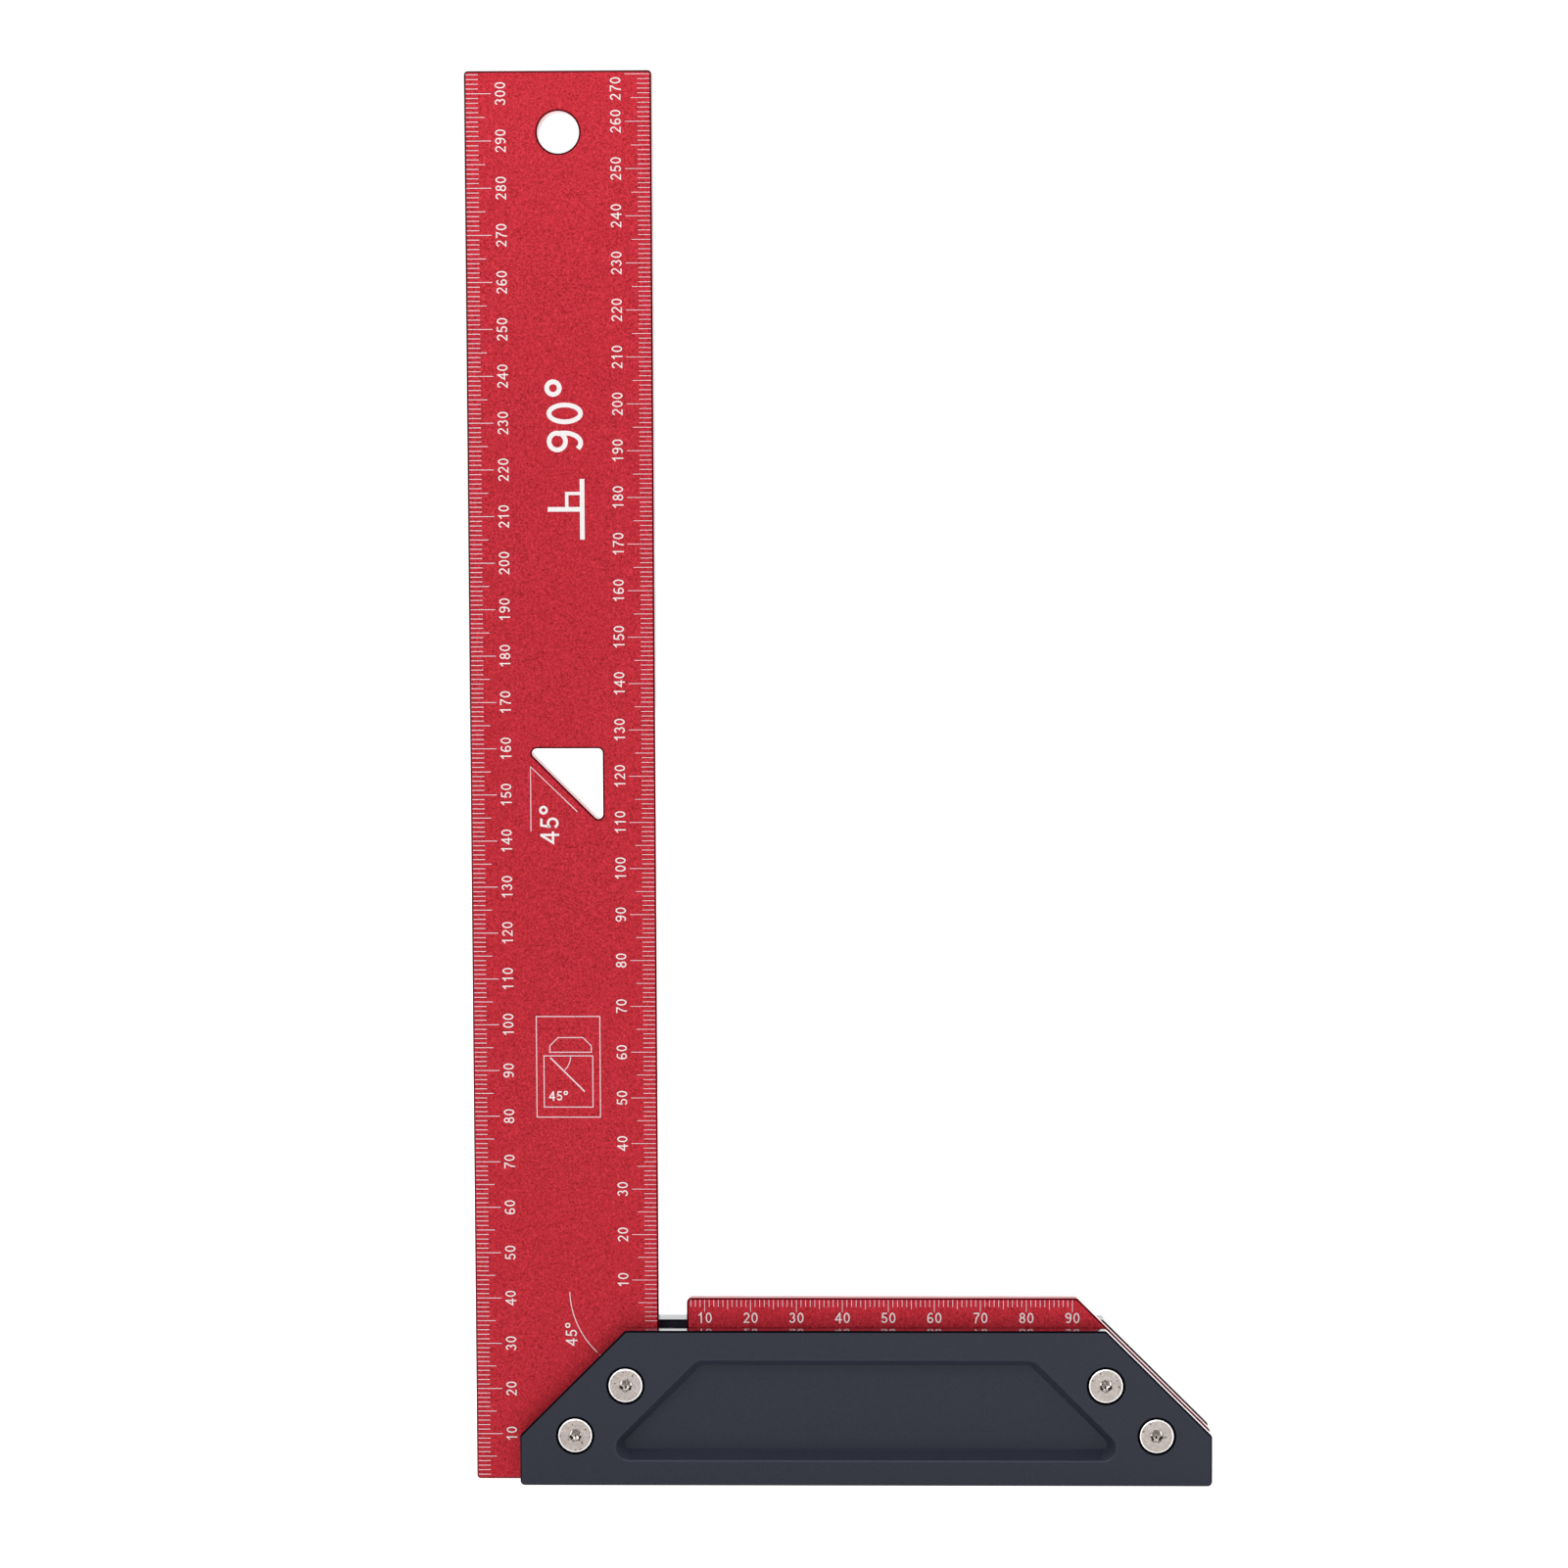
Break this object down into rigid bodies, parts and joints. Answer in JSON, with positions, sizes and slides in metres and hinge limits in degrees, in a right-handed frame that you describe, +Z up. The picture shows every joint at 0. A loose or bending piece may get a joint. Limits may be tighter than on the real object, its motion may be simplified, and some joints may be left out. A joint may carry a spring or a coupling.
{
  "type": "carpenter's square",
  "caption": "Fixed L-shaped carpenter's square: red graduated blade held between the two navy plates of a wide stock.",
  "frame": {"origin": "middle of the footprint, on the flat base of the stock", "axes": "+Z up along the blade, +X along the stock away from the blade, front with the screw heads towards -Y"},
  "size_m": [0.16, 0.018, 0.3048],
  "materials": {
    "red_anodised": "bead-blasted, red anodised",
    "navy_anodised": "satin, dark blue anodised",
    "screw_steel": "nickel plated",
    "white_marking": "laser-etched, matt white"
  },
  "bodies": {
    "root": {"blade": "red_anodised", "scale_plate": "red_anodised", "front_plate": "navy_anodised", "back_plate": "navy_anodised", "screw_blade_outer": "screw_steel", "screw_blade_inner": "screw_steel", "screw_end_inner": "screw_steel", "screw_end_outer": "screw_steel"}
  },
  "joints": []
}
